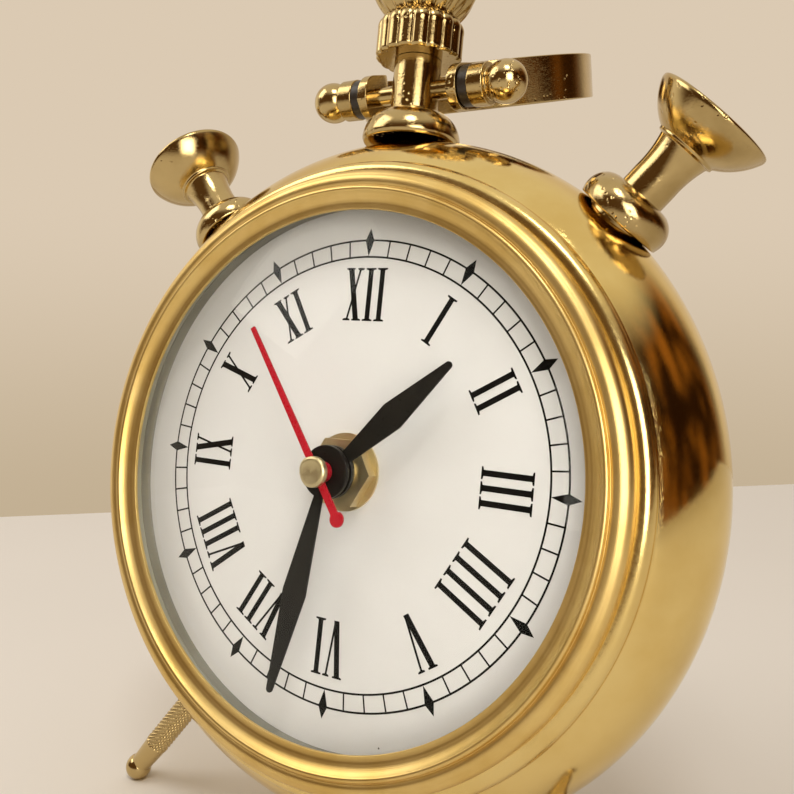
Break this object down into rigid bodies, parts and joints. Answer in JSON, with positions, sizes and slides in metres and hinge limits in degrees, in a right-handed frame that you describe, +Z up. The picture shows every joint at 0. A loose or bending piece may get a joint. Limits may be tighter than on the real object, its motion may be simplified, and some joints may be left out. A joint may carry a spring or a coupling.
{
  "type": "table clock",
  "caption": "Brass table clock shaped like a pocket stopwatch: domed glass, white dial, flared push buttons, fluted crown, folding bow and ball-footed legs.",
  "frame": {"origin": "on the table under the middle of the whole clock, bow folded back", "axes": "+Z up, +X to the right seen from the front, +Y from the dial's side to the back; the clock leans back on its feet"},
  "size_m": [0.1406, 0.1014, 0.1917],
  "materials": {
    "polished_brass": "polished, lightly pitted",
    "satin_brass": "satin, turned",
    "crystal_glass": "clear, polished",
    "seal_rubber": "matt",
    "dial_white": "warm white, satin",
    "spacer_grey": "grey-olive, satin",
    "black_plastic": "moulded",
    "hand_black": "satin",
    "hand_red": "gloss",
    "white_plastic": "moulded",
    "gear_brass": "cut",
    "steel": "plain",
    "copper_wire": "enamelled",
    "board_green": "coated",
    "cell_skin": "printed sleeve with no lettering",
    "washer_black": "dark, worn"
  },
  "bodies": {
    "clock": {"case_shell": "polished_brass", "front_bezel": "satin_brass", "crystal": "crystal_glass", "crystal_seal": "seal_rubber", "dial_spacer_ring": "spacer_grey", "dial_plate": "dial_white", "dial_retainer": "steel", "rear_cover": "satin_brass", "rear_cover_screws": "steel", "movement_front_case": "black_plastic", "movement_rear_case": "black_plastic", "center_bush": "gear_brass", "rear_washer": "seal_rubber", "front_washer": "gear_brass", "shaft_nut": "gear_brass", "stator": "steel", "coil": "copper_wire", "circuit_board": "board_green", "battery": "cell_skin", "battery_contacts": "steel", "neck_flange": "polished_brass", "neck_tube": "polished_brass", "neck_stud": "steel", "neck_nut": "steel", "bow_screws": "polished_brass", "bow_washers": "washer_black", "left_leg": "polished_brass", "right_leg": "polished_brass", "rear_leg": "polished_brass", "leg_nuts": "steel", "left_button_bush": "polished_brass", "left_button_spring": "steel", "left_button_nut": "gear_brass", "right_button_bush": "polished_brass", "right_button_spring": "steel", "right_button_nut": "gear_brass"},
    "seconds_train": {"seconds_wheel": "white_plastic", "second_hand": "hand_red", "second_hand_cap": "polished_brass"},
    "minute_train": {"center_wheel": "white_plastic", "minute_hand": "hand_black"},
    "hour_train": {"hour_wheel": "white_plastic", "hour_hand": "hand_black"},
    "third_train": {"third_wheel": "white_plastic"},
    "motion_train": {"motion_wheel": "white_plastic", "set_knob": "white_plastic"},
    "step_train": {"step_wheel": "white_plastic"},
    "rotor_train": {"rotor": "steel"},
    "bow_loop": {"bow": "polished_brass"},
    "crown_head": {"crown_collar": "polished_brass", "crown": "polished_brass"},
    "left_pusher": {"left_button": "polished_brass", "left_button_clip": "steel"},
    "right_pusher": {"right_button": "polished_brass", "right_button_clip": "steel"}
  },
  "joints": [
    {"name": "second_hand_turn", "type": "hinge", "parent": "clock", "child": "seconds_train", "pos_m": [0, -0.03198, 0.07826], "axis": [0, 0.9843, -0.1762], "continuous": true},
    {"name": "minute_hand_turn", "type": "hinge", "parent": "clock", "child": "minute_train", "pos_m": [0, -0.03198, 0.07826], "axis": [0, 0.9843, -0.1762], "continuous": true},
    {"name": "hour_hand_turn", "type": "hinge", "parent": "clock", "child": "hour_train", "pos_m": [0, -0.03198, 0.07826], "axis": [0, 0.9843, -0.1762], "continuous": true},
    {"name": "third_wheel_turn", "type": "hinge", "parent": "clock", "child": "third_train", "pos_m": [0.00779, -0.03119, 0.08269], "axis": [0, 0.9843, -0.1762], "continuous": true},
    {"name": "motion_wheel_turn", "type": "hinge", "parent": "clock", "child": "motion_train", "pos_m": [-0.0105, -0.03198, 0.07826], "axis": [0, 0.9843, -0.1762], "continuous": true},
    {"name": "step_wheel_turn", "type": "hinge", "parent": "clock", "child": "step_train", "pos_m": [-0.00488, -0.0306, 0.08594], "axis": [0, 0.9843, -0.1762], "continuous": true},
    {"name": "rotor_turn", "type": "hinge", "parent": "clock", "child": "rotor_train", "pos_m": [-0.00488, -0.02963, 0.09136], "axis": [0, 0.9843, -0.1762], "continuous": true},
    {"name": "bow_swing", "type": "hinge", "parent": "clock", "child": "bow_loop", "pos_m": [0, -0.00558, 0.15476], "axis": [1, 0, 0], "range_deg": [-52, 188]},
    {"name": "crown_turn", "type": "hinge", "parent": "clock", "child": "crown_head", "pos_m": [0, -0.00293, 0.16957], "axis": [0, 0.1762, 0.9843], "continuous": true},
    {"name": "left_button_press", "type": "slide", "parent": "clock", "child": "left_pusher", "axis": [0.6691, -0.131, -0.7315], "range_m": [0, 0.003], "stiffness_N_per_m": 600, "springref_m": -0.003, "deforming": ["left_button_spring"]},
    {"name": "right_button_press", "type": "slide", "parent": "clock", "child": "right_pusher", "axis": [-0.6691, -0.131, -0.7315], "range_m": [0, 0.003], "stiffness_N_per_m": 600, "springref_m": -0.003, "deforming": ["right_button_spring"]}
  ],
  "couplings": [
    {"joint": "minute_hand_turn", "follows": "second_hand_turn", "ratio": 0.016667},
    {"joint": "hour_hand_turn", "follows": "second_hand_turn", "ratio": 0.0013889},
    {"joint": "third_wheel_turn", "follows": "second_hand_turn", "ratio": -0.13333},
    {"joint": "motion_wheel_turn", "follows": "second_hand_turn", "ratio": -0.0055556},
    {"joint": "step_wheel_turn", "follows": "second_hand_turn", "ratio": -6},
    {"joint": "rotor_turn", "follows": "second_hand_turn", "ratio": 30}
  ]
}
